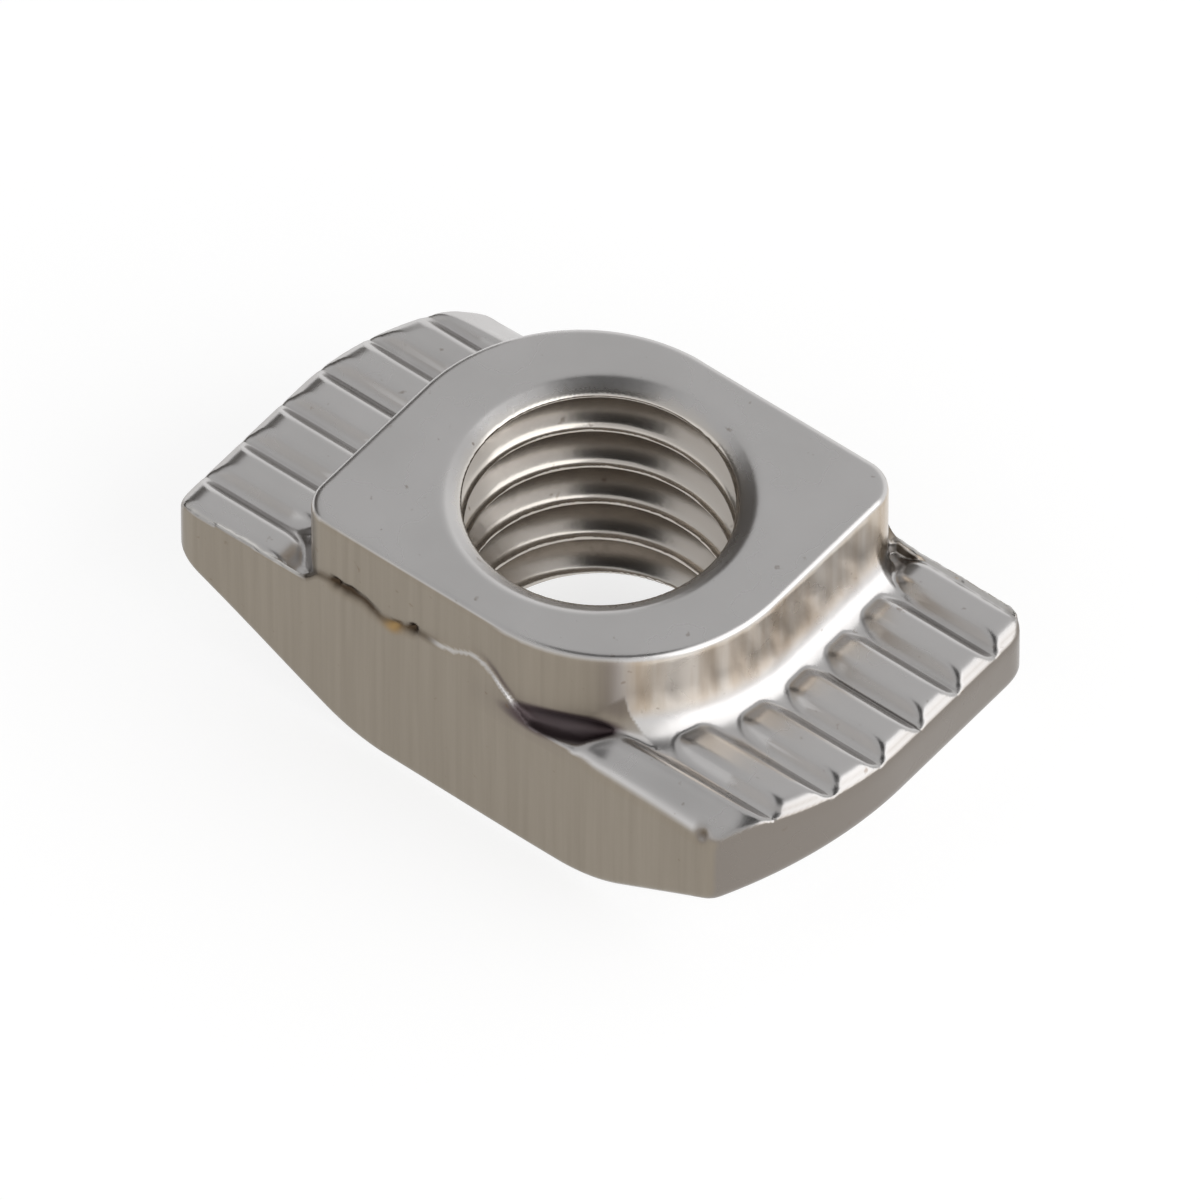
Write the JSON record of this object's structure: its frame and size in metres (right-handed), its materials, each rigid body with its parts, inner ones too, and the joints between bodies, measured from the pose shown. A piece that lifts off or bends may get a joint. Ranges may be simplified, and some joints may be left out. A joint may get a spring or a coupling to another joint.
{
  "type": "drop-in t-nut",
  "caption": "Nickel-plated steel drop-in t-nut: bevelled head with ridged shoulders, rounded turning corners, raised boss and a countersunk threaded hole.",
  "frame": {"origin": "on the axis of the hole, at the flat bottom of the head", "axes": "+X along the head, +Z along the hole towards the top of the boss"},
  "size_m": [0.0112, 0.006, 0.0044],
  "materials": {
    "nickel_plate": "bright nickel plate over cold-formed steel"
  },
  "bodies": {
    "root": {"nut_body": "nickel_plate"}
  },
  "joints": []
}
